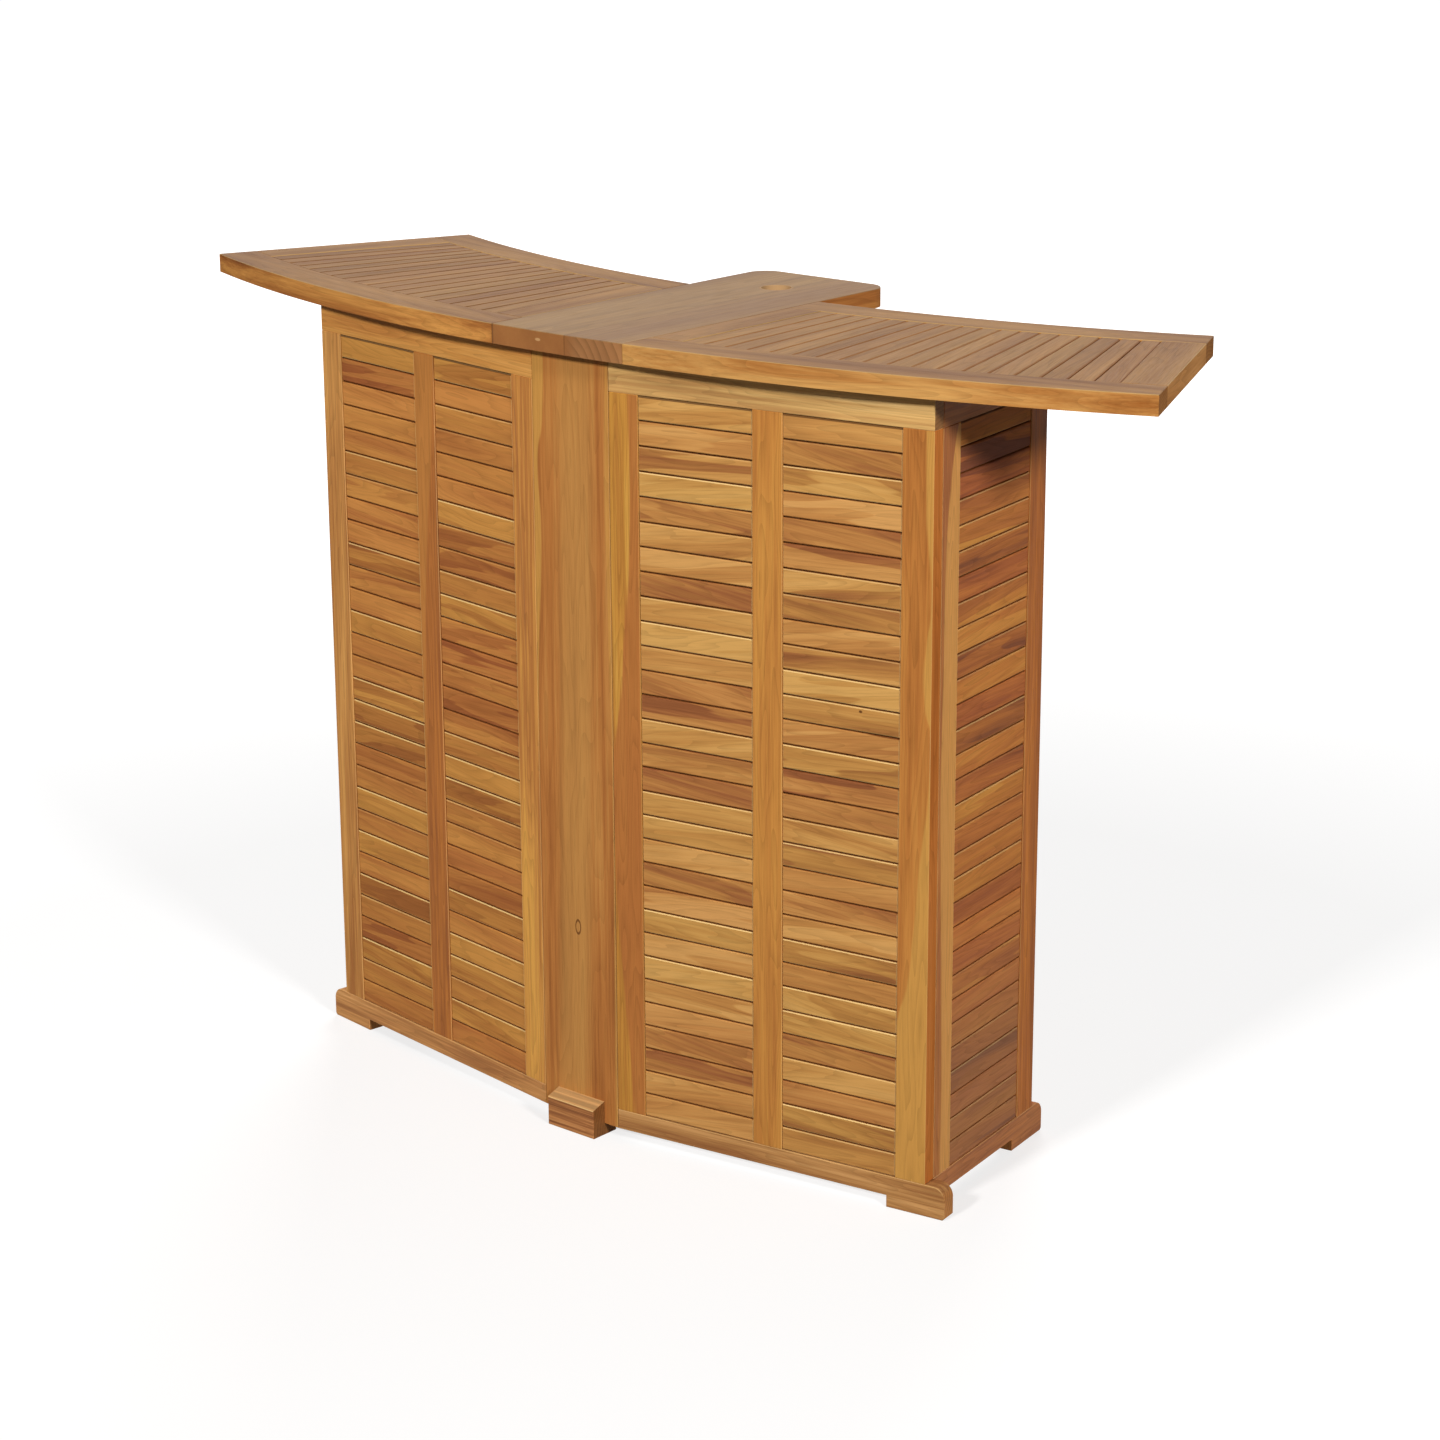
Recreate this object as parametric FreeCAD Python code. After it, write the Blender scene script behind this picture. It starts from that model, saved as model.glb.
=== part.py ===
# Folding bar table in oiled hardwood: a curved, slatted counter that stands on a centre post,
# two slatted front panels hinged to that post and a slatted side wing hinged to each panel.
# Millimetres, +Z up. The guests stand at -Y and the origin is on the floor under the middle.

import FreeCAD, Part
import math
import os
from FreeCAD import Vector

# Overall size
overall_width = 1550.0
overall_depth = 525.0
overall_height = 1050.0

# Counter top
top_thickness = 25.0
front_radius = 2060.0           # curve of the guests' edge
leaf_depth = 372.0              # from the guests' edge to the server's edge, both on one centre
leaf_end_angle = 23.5           # slant of the outer ends, degrees
plank_width = 216.0
tail_corner_radius = 30.0
pole_hole_diameter = 40.0
pole_hole_inset = 102.0         # tail end to the middle of the hole
leaf_seam = 0.5                 # open seam between plank and leaf
leaf_rail_width = 54.0
leaf_inner_rail_width = 45.0
leaf_slat_count = 18
leaf_slat_thickness = 16.0
leaf_slat_drop = 0.5            # slat faces below the faces of the leaf's rails

# Centre post and its foot
post_setback = 25.5             # guests' edge of the counter to the front of the post
post_width = 127.0
spine_depth = 58.0
hinge_ledge = 35.5              # bare back of the post on each side of the spine
foot_width = 80.0
foot_height = 46.0
foot_setback = 4.0              # guests' edge of the counter to the front of the foot
foot_slope = 7.0                # fall of the foot's top towards its front
foot_tail = 70.0                # foot behind the spine

# Knee under the tail
brace_width = 40.0
brace_reach = 65.0
brace_drop = 140.0
brace_nose = 28.0
brace_screw_spacing = 20.0
brace_screw_radius = 2.25
brace_screw_head_radius = 4.0
brace_screw_head_height = 3.0
brace_screw_grip = 17.0         # wood of the knee under each screw head
brace_screw_bite = 14.0         # thread in the plank or spine

# Panels and wings
panel_angle = 8.4               # sweep of the panels behind the post, degrees
board_thickness = 22.0
stile_width = 42.0
panel_column_count = 2
panel_column_width = 162.5
wing_column_count = 1
wing_column_width = 180.0
top_rail_height = 42.0
bottom_rail_height = 26.5
floor_gap = 15.5                # under the bottom rails
foot_overhang = 28.0            # feet beyond the ends of panels and wings
foot_inboard = 54.0
foot_nose_radius = 16.0
foot_toe = 3.0                  # bevel at the floor
slat_count = 30
slat_thickness = 13.0
slat_drop = 1.0                 # slat faces behind the faces of the frames
slat_gap = 2.0
slat_ease = 1.2                 # bevel around each slat's face
edge_ease = 0.8                 # bevel along the edges of boards

# Tongues and tenons
tongue_length = 8.0
tongue_thickness = 6.0
tongue_cover = 3.0              # slat wood in front of its tongue
tenon_length = 15.0
tenon_thickness = 8.0
tenon_shoulder = 6.0
leaf_tenon_shoulder = 10.0

# Hinges, all alike
hinge_count = 3
hinge_height = 60.0
hinge_inset = 110.0             # end of a stile to the middle of its outer hinges
hinge_offset = 4.0              # pin behind the faces that the plates lie on
plate_thickness = 1.6
plate_margin = 1.0              # stile left bare beside the narrowest plate
knuckle_count = 3               # the outer ones hold the pin
knuckle_radius = 3.4
pin_radius = 1.7
hinge_screw_radius = 1.25
hinge_screw_head_radius = 2.3
hinge_screw_spacing = 38.0
hinge_screw_cover = 1.9         # wood between a screw's tip and the slat groove

# Pins between plank and leaves
leaf_pin_count = 3
leaf_pin_radius = 5.0
leaf_pin_spacing = 95.0
leaf_pin_bed = 30.0             # length glued into the plank
leaf_pin_reach = 30.0           # length that the leaf slides on

# Clearances
panel_joint_gap = 0.5           # post to panel
wing_joint_gap = 0.4            # panel to wing
panel_top_gap = 0.5             # panels and wings to the counter
joint_clearance = 0.2           # tenons, tongues and notches
shoulder_gap = 0.25             # ends of slats and of straight rails between curved ones
pin_fixed_clearance = 0.02
pin_running_clearance = 0.06
knuckle_gap = 0.4
knuckle_room = 0.4
screw_clearance = 0.05

# Places that follow from the sizes
front_y = -overall_depth / 2
tail_y = overall_depth / 2
top_underside = overall_height - top_thickness
arc_centre = Vector(0, front_y + front_radius, 0)
rear_radius = front_radius - leaf_depth
slat_front_radius = front_radius - leaf_rail_width
slat_rear_radius = rear_radius + leaf_rail_width
leaf_inner_x = plank_width / 2 + leaf_seam
leaf_slat_start_x = leaf_inner_x + leaf_inner_rail_width
post_front_y = front_y + post_setback
post_back_y = post_front_y + board_thickness
spine_width = post_width - 2 * hinge_ledge
spine_back_y = post_back_y + spine_depth
foot_front_y = front_y + foot_setback
foot_back_y = spine_back_y + foot_tail
bottom_rail_top = floor_gap + bottom_rail_height
panel_top = top_underside - panel_top_gap
stile_top = panel_top - top_rail_height
slat_pitch = (stile_top - bottom_rail_top) / slat_count
panel_length = panel_column_count * panel_column_width + (panel_column_count + 1) * stile_width
tongue_front = slat_drop + tongue_cover
groove_front = tongue_front - joint_clearance
groove_back = tongue_front + tongue_thickness + joint_clearance
groove_depth = tongue_length + shoulder_gap + joint_clearance
plate_width = stile_width - board_thickness - hinge_offset - plate_margin
hinge_screw_line = (knuckle_radius + plate_width) / 2
hinge_screw_length = board_thickness - groove_back - hinge_screw_cover
hinge_span = stile_top - bottom_rail_top - 2 * hinge_inset
hinge_levels = [bottom_rail_top + hinge_inset - hinge_height / 2 + hinge_span * step / (hinge_count - 1)
                for step in range(hinge_count)]
past = 1.0                      # cutting shapes run this far past the wood


def block(x0, x1, y0, y1, z0, z1):
    return Part.makeBox(x1 - x0, y1 - y0, z1 - z0, Vector(x0, y0, z0))


def eased_block(x0, x1, y0, y1, z0, z1):
    shape = block(x0, x1, y0, y1, z0, z1)
    return shape.makeChamfer(edge_ease, shape.Edges)


def line(start, end):
    return Part.makeLine(start, end)


def bend(start, centre, end):
    # Short way round a circle from start to end
    middle = (start - centre) + (end - centre)
    middle.multiply((start - centre).Length / middle.Length)
    return Part.Arc(start, centre + middle, end).toShape()


def extruded(edges, travel):
    return Part.Face(Part.Wire(edges)).extrude(travel)


def polygon_edges(points):
    return [line(points[i - 1], points[i]) for i in range(len(points))]


def board_from(edges, z0, z1):
    # Flat board with the outline given in plan
    shape = extruded(edges, Vector(0, 0, z1 - z0))
    shape.translate(Vector(0, 0, z0))
    return shape


def edges_at(shape, axis, place):
    # Edges that lie in the plane where the given coordinate has the given value
    near = 1e-4
    return [edge for edge in shape.Edges
            if all(abs(getattr(vertex, axis) - place) < near for vertex in edge.Vertexes)]


def eased_at(shape, axis, place, size):
    return shape.makeChamfer(size, edges_at(shape, axis, place))


def turned(shape, degrees, x, y, z):
    # A copy turned about Z at the origin and then carried to x, y, z
    copy = shape.copy()
    copy.rotate(Vector(0, 0, 0), Vector(0, 0, 1), degrees)
    copy.translate(Vector(x, y, z))
    return copy


def mirrored(shape):
    return shape.mirror(Vector(0, 0, 0), Vector(1, 0, 0))


def group(shapes):
    return Part.makeCompound(shapes)


def cut_by(shape, tools):
    return shape.cut(tools) if tools else shape


# Slatted frames. Each is built in its own axes: x along it, y from its outer face inwards

def footed_rail(length):
    # Bottom rail sawn from one board with its foot, whose upper end is rounded
    tip = length + foot_overhang
    heel = length - foot_inboard
    nose_start = Vector(tip, 0, bottom_rail_top - foot_nose_radius)
    nose_centre = Vector(tip - foot_nose_radius, 0, bottom_rail_top - foot_nose_radius)
    nose_end = Vector(tip - foot_nose_radius, 0, bottom_rail_top)
    corners = [Vector(0, 0, bottom_rail_top), Vector(0, 0, floor_gap), Vector(heel, 0, floor_gap),
               Vector(heel, 0, 0), Vector(tip - foot_toe, 0, 0), Vector(tip, 0, foot_toe), nose_start]
    edges = [line(corners[i], corners[i + 1]) for i in range(len(corners) - 1)]
    edges.append(bend(nose_start, nose_centre, nose_end))
    edges.append(line(nose_end, corners[0]))
    shape = extruded(edges, Vector(0, board_thickness, 0))
    return eased_at(shape, "Y", 0, edge_ease)


def tenon(x0, end_z, reach, room):
    # Stub tenon of the stile that starts at x0, or its mortise when room is given
    middle = board_thickness / 2
    low = min(end_z, end_z + reach)
    high = max(end_z, end_z + reach)
    return block(x0 + tenon_shoulder - room, x0 + stile_width - tenon_shoulder + room,
                 middle - tenon_thickness / 2 - room, middle + tenon_thickness / 2 + room,
                 low - room, high + room)


def stile(x0, groove_left, groove_right):
    shape = eased_block(x0, x0 + stile_width, 0, board_thickness, bottom_rail_top, stile_top)
    shape = shape.fuse([tenon(x0, stile_top - edge_ease, tenon_length + edge_ease, 0),
                        tenon(x0, bottom_rail_top + edge_ease, -tenon_length - edge_ease, 0)])
    grooves = []
    if groove_left:
        grooves.append(block(x0 - past, x0 + groove_depth, groove_front, groove_back,
                             bottom_rail_top, stile_top))
    if groove_right:
        grooves.append(block(x0 + stile_width - groove_depth, x0 + stile_width + past,
                             groove_front, groove_back, bottom_rail_top, stile_top))
    return cut_by(shape, grooves)


def slat_column(x0, width):
    height = slat_pitch - slat_gap
    face = block(x0 + shoulder_gap, x0 + width - shoulder_gap,
                 slat_drop, slat_drop + slat_thickness, 0, height)
    face = eased_at(face, "Y", slat_drop, slat_ease)
    tongue = block(x0 - tongue_length, x0 + width + tongue_length,
                   tongue_front, tongue_front + tongue_thickness, 0, height)
    slat = face.fuse(tongue)
    return [turned(slat, 0, 0, 0, bottom_rail_top + slat_gap / 2 + slat_pitch * i) for i in range(slat_count)]


def slatted_frame(column_count, column_width):
    step = stile_width + column_width
    length = column_count * step + stile_width
    stiles = []
    columns = []
    mortises = []
    for index in range(column_count + 1):
        x0 = index * step
        stiles.append(stile(x0, index > 0, index < column_count))
        mortises.append(tenon(x0, stile_top, tenon_length, joint_clearance))
        mortises.append(tenon(x0, bottom_rail_top, -tenon_length, joint_clearance))
    for index in range(column_count):
        columns.append(slat_column(stile_width + index * step, column_width))
    top_rail = eased_block(0, length, 0, board_thickness, stile_top, panel_top).cut(mortises)
    bottom_rail = footed_rail(length).cut(mortises)
    return top_rail, bottom_rail, stiles, columns


# Hinges. Each is built with its pin on the Z axis and its plate on a face at y = -face_distance

def barrel(radius, z0, z1):
    return Part.makeCylinder(radius, z1 - z0, Vector(0, 0, z0))


def hinge_screw(room):
    # Countersunk screw pointing along -Y from the outer side of a plate, or its hole
    down = Vector(0, -1, 0)
    head = Part.makeCone(hinge_screw_head_radius + room, hinge_screw_radius + room, plate_thickness,
                         Vector(0, 0, 0), down)
    shank = Part.makeCylinder(hinge_screw_radius + room, hinge_screw_length + room,
                              Vector(0, -plate_thickness, 0), down)
    return head.fuse(shank)


def hinge_screws(face_distance, side, room):
    middle = hinge_height / 2
    spread = hinge_screw_spacing / 2
    return [turned(hinge_screw(room), 0, side * hinge_screw_line, plate_thickness - face_distance, z)
            for z in (middle - spread, middle + spread)]


def hinge_plate(face_distance, side, carries_pin):
    # Half of a hinge: every other knuckle from the ends holds the pin and the rest turn on it
    reach = side * plate_width
    shape = block(min(0, reach), max(0, reach), -face_distance, plate_thickness - face_distance,
                  0, hinge_height)
    knuckle_height = hinge_height / knuckle_count
    for level in range(knuckle_count):
        low = level * knuckle_height
        high = low + knuckle_height
        if (level % 2 == 0) == carries_pin:
            shape = shape.fuse(barrel(knuckle_radius, low + knuckle_gap / 2, high - knuckle_gap / 2))
        else:
            shape = shape.cut(barrel(knuckle_radius + knuckle_room, low - knuckle_gap / 2,
                                     high + knuckle_gap / 2))
    clearance = pin_fixed_clearance if carries_pin else pin_running_clearance
    shape = shape.cut(barrel(pin_radius + clearance, -past, hinge_height + past))
    return shape.cut(hinge_screws(face_distance, side, screw_clearance))


def at_hinges(shapes, degrees, axis):
    # Copies of the shapes at every hinge level of a pin line
    return [turned(shape, degrees, axis.x, axis.y, z) for z in hinge_levels for shape in shapes]


# Counter leaf, right-hand side, in plan

def arc_point(radius, x):
    return Vector(x, arc_centre.y - math.sqrt(radius ** 2 - x ** 2), 0)


def end_point(radius, inset):
    # Where the slanted end, moved inwards by inset, meets the arc of the given radius
    slant = math.radians(leaf_end_angle)
    along = Vector(-math.sin(slant), math.cos(slant), 0)
    inwards = Vector(-math.cos(slant), -math.sin(slant), 0)
    start = arc_point(front_radius, overall_width / 2) + inwards * inset - arc_centre
    half = along.dot(start)
    return arc_centre + start - along * (half + math.sqrt(half ** 2 - start.dot(start) + radius ** 2))


def ring_edges(outer_start, outer_end, inner_end, inner_start):
    # Outline with two sides on arcs about the counter's centre and two straight ends
    return [bend(outer_start, arc_centre, outer_end), line(outer_end, inner_end),
            bend(inner_end, arc_centre, inner_start), line(inner_start, outer_start)]


def curved_strip(outer, inner, x_start, inset):
    return ring_edges(arc_point(outer, x_start), end_point(outer, inset),
                      end_point(inner, inset), arc_point(inner, x_start))


def inner_strip(outer, inner, shoulder):
    x0 = leaf_inner_x + shoulder
    x1 = leaf_slat_start_x - shoulder
    return ring_edges(arc_point(outer, x0), arc_point(outer, x1),
                      arc_point(inner, x1), arc_point(inner, x0))


def end_strip(outer, inner, shoulder):
    near = leaf_rail_width - shoulder
    return ring_edges(end_point(outer, near), end_point(outer, shoulder),
                      end_point(inner, shoulder), end_point(inner, near))


def fan_point(radius, fraction, shift):
    # Point on an arc, a fraction of the way from the inner rail to the end rail
    first = math.asin(leaf_slat_start_x / radius)
    last = math.asin(end_point(radius, leaf_rail_width).x / radius)
    angle = first + (last - first) * fraction + shift / radius
    return arc_centre + Vector(math.sin(angle), -math.cos(angle), 0) * radius


def leaf_slat_outline(index, reach):
    # Tapered slat between the curved rails, longer than the space by reach at each end
    corners = []
    for fraction, shift in ((index, slat_gap / 2), (index + 1, -slat_gap / 2)):
        front = fan_point(slat_front_radius, fraction / leaf_slat_count, shift)
        rear = fan_point(slat_rear_radius, fraction / leaf_slat_count, shift)
        along = (rear - front).normalize()
        corners.append((front - along * reach, rear + along * reach))
    (front_left, rear_left), (front_right, rear_right) = corners
    return polygon_edges([front_left, front_right, rear_right, rear_left])


def build_leaf():
    face = overall_height - leaf_slat_drop
    tongue_top = face - tongue_cover
    tongue_low = tongue_top - tongue_thickness
    outer = slat_front_radius - shoulder_gap
    inner = slat_rear_radius + shoulder_gap
    tip_outer = slat_front_radius + tongue_length
    tip_inner = slat_rear_radius - tongue_length
    stop = leaf_tenon_shoulder - joint_clearance
    grooves = []
    for groove_outer, groove_inner in ((slat_front_radius + groove_depth, slat_front_radius - past),
                                       (slat_rear_radius + past, slat_rear_radius - groove_depth)):
        grooves.append(board_from(curved_strip(groove_outer, groove_inner, leaf_inner_x + stop, stop),
                                  tongue_low - joint_clearance, tongue_top + joint_clearance))
    rails = []
    for rail_outer, rail_inner in ((front_radius, slat_front_radius), (slat_rear_radius, rear_radius)):
        rail = board_from(curved_strip(rail_outer, rail_inner, leaf_inner_x, 0), top_underside, overall_height)
        rails.append(eased_at(rail, "Z", overall_height, edge_ease).cut(grooves))
    for strip in (inner_strip, end_strip):
        rail = board_from(strip(outer, inner, 0), top_underside, overall_height)
        rail = eased_at(rail, "Z", overall_height, edge_ease)
        rails.append(rail.fuse(board_from(strip(tip_outer, tip_inner, leaf_tenon_shoulder),
                                          tongue_low, tongue_top)))
    slats = []
    for index in range(leaf_slat_count):
        slat = board_from(leaf_slat_outline(index, -shoulder_gap), face - leaf_slat_thickness, face)
        slat = eased_at(slat, "Z", face, slat_ease)
        slats.append(slat.fuse(board_from(leaf_slat_outline(index, tongue_length), tongue_low, tongue_top)))
    front_rail, rear_rail, inner_rail, end_rail = rails
    return front_rail, rear_rail, inner_rail.cut(leaf_pins(pin_running_clearance)), end_rail, slats


def leaf_pins(room):
    # Pins on the right-hand seam, or their holes when room is given
    middle_y = (arc_point(slat_front_radius, leaf_inner_x).y + arc_point(slat_rear_radius, leaf_inner_x).y) / 2
    first_y = middle_y - leaf_pin_spacing * (leaf_pin_count - 1) / 2
    end_room = past if room else 0
    start_x = plank_width / 2 - leaf_pin_bed - end_room
    length = leaf_pin_bed + leaf_seam + leaf_pin_reach + 2 * end_room
    return [Part.makeCylinder(leaf_pin_radius + room, length,
                              Vector(start_x, first_y + leaf_pin_spacing * i, overall_height - top_thickness / 2),
                              Vector(1, 0, 0))
            for i in range(leaf_pin_count)]


# Centre

def brace_screw(room):
    # Pan-headed screw along +Z with its head under the origin; the hole has a pocket for the head
    pocket = brace_drop if room else brace_screw_head_height
    head = Part.makeCylinder(brace_screw_head_radius + room, pocket, Vector(0, 0, -pocket))
    shank = Part.makeCylinder(brace_screw_radius + room, brace_screw_grip + brace_screw_bite + room)
    return head.fuse(shank)


def brace_screws(room):
    upright = brace_screw(room)
    level = brace_screw(room)
    level.rotate(Vector(0, 0, 0), Vector(1, 0, 0), 90)
    shapes = []
    for x in (-brace_screw_spacing / 2, brace_screw_spacing / 2):
        shapes.append(turned(upright, 0, x, spine_back_y + brace_reach - brace_nose / 2,
                             top_underside - brace_screw_grip))
        shapes.append(turned(level, 0, x, spine_back_y + brace_screw_grip,
                             top_underside - brace_drop + brace_nose / 2))
    return shapes


def build_brace():
    half = brace_width / 2
    low = top_underside - brace_drop
    points = [Vector(-half, spine_back_y, top_underside),
              Vector(-half, spine_back_y + brace_reach, top_underside),
              Vector(-half, spine_back_y + brace_reach, top_underside - brace_nose),
              Vector(-half, spine_back_y + brace_nose, low),
              Vector(-half, spine_back_y, low)]
    return extruded(polygon_edges(points), Vector(brace_width, 0, 0)).cut(brace_screws(screw_clearance))


def build_plank():
    half = plank_width / 2
    corner = tail_corner_radius
    front_left = arc_point(front_radius, -half)
    front_right = arc_point(front_radius, half)
    side_right = Vector(half, tail_y - corner, 0)
    tail_right = Vector(half - corner, tail_y, 0)
    tail_left = Vector(corner - half, tail_y, 0)
    side_left = Vector(-half, tail_y - corner, 0)
    edges = [bend(front_left, arc_centre, front_right),
             line(front_right, side_right),
             bend(side_right, Vector(half - corner, tail_y - corner, 0), tail_right),
             line(tail_right, tail_left),
             bend(tail_left, Vector(corner - half, tail_y - corner, 0), side_left),
             line(side_left, front_left)]
    plank = eased_at(board_from(edges, top_underside, overall_height), "Z", overall_height, edge_ease)
    hole = Part.makeCylinder(pole_hole_diameter / 2, top_thickness + 2 * past,
                             Vector(0, tail_y - pole_hole_inset, top_underside - past))
    pin_holes = leaf_pins(pin_fixed_clearance)
    return plank.cut([hole] + pin_holes + [mirrored(pin) for pin in pin_holes]
                     + brace_screws(screw_clearance))


def build_foot():
    half = foot_width / 2
    points = [Vector(-half, foot_front_y, 0),
              Vector(-half, foot_front_y, foot_height - foot_slope),
              Vector(-half, post_front_y, foot_height),
              Vector(-half, post_back_y, foot_height),
              Vector(-half, post_back_y, 0)]
    nose = extruded(polygon_edges(points), Vector(foot_width, 0, 0))
    nose = eased_at(nose, "Y", foot_front_y, edge_ease)
    return nose.fuse(block(-spine_width / 2, spine_width / 2, post_back_y, foot_back_y, 0, foot_height))


def build_post(screw_holes):
    # Sides slanted like the panels' ends, and a notch over the foot
    half_front = post_width / 2
    half_back = half_front - board_thickness * math.tan(math.radians(panel_angle))
    points = [Vector(-half_front, post_front_y, 0), Vector(half_front, post_front_y, 0),
              Vector(half_back, post_back_y, 0), Vector(-half_back, post_back_y, 0)]
    post = board_from(polygon_edges(points), floor_gap, top_underside)
    post = eased_at(post, "Y", post_front_y, edge_ease)
    notch_half = foot_width / 2 + joint_clearance
    notch = block(-notch_half, notch_half, post_front_y - past, post_back_y + past,
                  floor_gap - past, foot_height)
    return post.cut([notch] + screw_holes)


# Places of the right-hand panel and of the two pin lines

sweep = math.radians(panel_angle)
panel_along = Vector(math.cos(sweep), math.sin(sweep), 0)
panel_origin = Vector(post_width / 2, post_front_y, 0) + panel_along * panel_joint_gap
panel_back_pin = Vector(-panel_joint_gap / 2, board_thickness + hinge_offset, 0)
wing_pin = Vector(panel_length - board_thickness - hinge_offset, board_thickness + hinge_offset, 0)
wing_origin = Vector(panel_length, board_thickness + wing_joint_gap, 0)


def from_panel(shape):
    # From the panel's own axes to the right-hand panel's place
    return turned(shape, panel_angle, panel_origin.x, panel_origin.y, 0)


def from_wing(shape):
    # From the wing's own axes to its place behind the panel's outer end
    return from_panel(turned(shape, 90, wing_origin.x, wing_origin.y, 0))


fold_pin = from_panel(Part.Vertex(panel_back_pin)).Point
post_face_distance = fold_pin.y - post_back_y
pin_rod = barrel(pin_radius, 0, hinge_height)

# Screws of the hinges and the holes that they need in the wood
post_screws = at_hinges(hinge_screws(post_face_distance, -1, 0), 0, fold_pin)
post_holes = at_hinges(hinge_screws(post_face_distance, -1, screw_clearance), 0, fold_pin)
fold_screws = at_hinges(hinge_screws(hinge_offset, 1, 0), 0, panel_back_pin)
fold_holes = at_hinges(hinge_screws(hinge_offset, 1, screw_clearance), 0, panel_back_pin)
corner_screws = at_hinges(hinge_screws(hinge_offset, -1, 0), 0, wing_pin)
corner_holes = at_hinges(hinge_screws(hinge_offset, -1, screw_clearance), 0, wing_pin)
wing_screws = at_hinges(hinge_screws(hinge_offset, 1, 0), 90, wing_pin)
wing_holes = at_hinges(hinge_screws(hinge_offset, 1, screw_clearance), 90, wing_pin)

# Right-hand pieces, each named for its place
panel_top_rail, panel_bottom_rail, panel_stiles, panel_columns = slatted_frame(panel_column_count,
                                                                              panel_column_width)
wing_top_rail, wing_bottom_rail, wing_stiles, wing_columns = slatted_frame(wing_column_count,
                                                                          wing_column_width)
leaf_front_rail, leaf_rear_rail, leaf_inner_rail, leaf_end_rail, leaf_slats = build_leaf()

right_hand = {
    "panel_top_rail": from_panel(panel_top_rail),
    "panel_bottom_rail": from_panel(panel_bottom_rail),
    "panel_inner_stile": from_panel(panel_stiles[0].cut(fold_holes)),
    "panel_middle_stile": from_panel(group(panel_stiles[1:-1])),
    "panel_outer_stile": from_panel(panel_stiles[-1].cut(corner_holes)),
    "panel_inner_slats": from_panel(group(panel_columns[0])),
    "panel_outer_slats": from_panel(group(sum(panel_columns[1:], []))),
    "panel_fold_plates": from_panel(group(at_hinges([hinge_plate(hinge_offset, 1, False)], 0,
                                                    panel_back_pin))),
    "panel_wing_plates": from_panel(group(at_hinges([hinge_plate(hinge_offset, -1, True)], 0, wing_pin))),
    "panel_hinge_screws": from_panel(group(fold_screws + corner_screws)),
    "wing_pins": from_panel(group(at_hinges([pin_rod], 0, wing_pin))),
    "wing_top_rail": from_wing(wing_top_rail),
    "wing_bottom_rail": from_wing(wing_bottom_rail),
    "wing_front_stile": from_wing(wing_stiles[0]).cut([from_panel(hole) for hole in wing_holes]),
    "wing_rear_stile": from_wing(wing_stiles[-1]),
    "wing_slats": from_wing(group(sum(wing_columns, []))),
    "wing_hinge_plates": from_panel(group(at_hinges([hinge_plate(hinge_offset, 1, False)], 90, wing_pin))),
    "wing_hinge_screws": from_panel(group(wing_screws)),
    "leaf_front_rail": leaf_front_rail,
    "leaf_rear_rail": leaf_rear_rail,
    "leaf_inner_rail": leaf_inner_rail,
    "leaf_end_rail": leaf_end_rail,
    "leaf_slats": group(leaf_slats),
}

post_plates = at_hinges([hinge_plate(post_face_distance, -1, True)], 0, fold_pin)
fold_pins = at_hinges([pin_rod], 0, fold_pin)
seam_pins = leaf_pins(0)

nodes = {
    "centre_post": build_post(post_holes + [mirrored(hole) for hole in post_holes]),
    "post_spine": block(-spine_width / 2, spine_width / 2, post_back_y, spine_back_y,
                        foot_height, top_underside).cut(brace_screws(screw_clearance)),
    "centre_foot": build_foot(),
    "plank": build_plank(),
    "plank_brace": build_brace(),
    "brace_screws": group(brace_screws(0)),
    "post_hinge_plates": group(post_plates + [mirrored(plate) for plate in post_plates]),
    "fold_pins": group(fold_pins + [mirrored(pin) for pin in fold_pins]),
    "post_hinge_screws": group(post_screws + [mirrored(screw) for screw in post_screws]),
    "leaf_pins": group(seam_pins + [mirrored(pin) for pin in seam_pins]),
}
for name, shape in right_hand.items():
    nodes["right_" + name] = shape
    nodes["left_" + name] = mirrored(shape)

os.makedirs("parts", exist_ok=True)
for name, shape in nodes.items():
    shape.exportStep("parts/" + name + ".step")
    print(name, len(shape.Solids), "solids", round(shape.Volume), "mm3")

wing_pin_place = from_panel(Part.Vertex(wing_pin)).Point
print("fold pin", fold_pin, "wing pin", wing_pin_place)
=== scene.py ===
import math

import bpy
from mathutils import Matrix, Vector


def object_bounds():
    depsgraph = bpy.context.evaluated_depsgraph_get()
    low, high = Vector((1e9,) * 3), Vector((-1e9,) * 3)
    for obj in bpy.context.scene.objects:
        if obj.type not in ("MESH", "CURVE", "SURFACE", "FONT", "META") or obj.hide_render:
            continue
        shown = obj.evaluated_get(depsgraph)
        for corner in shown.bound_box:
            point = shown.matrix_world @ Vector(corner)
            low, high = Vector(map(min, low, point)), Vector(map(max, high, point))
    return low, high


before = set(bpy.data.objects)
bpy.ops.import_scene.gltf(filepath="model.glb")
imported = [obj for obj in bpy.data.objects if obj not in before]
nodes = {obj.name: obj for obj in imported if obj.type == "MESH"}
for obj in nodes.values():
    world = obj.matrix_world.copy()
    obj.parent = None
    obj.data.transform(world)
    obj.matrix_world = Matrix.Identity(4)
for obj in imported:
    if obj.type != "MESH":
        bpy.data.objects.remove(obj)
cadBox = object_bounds()
scene = bpy.context.scene
metre = 1000.0  # in mm, the unit of the looks below; the scene itself is in metres
print("frame loaded,", len(nodes), "CAD nodes")


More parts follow.
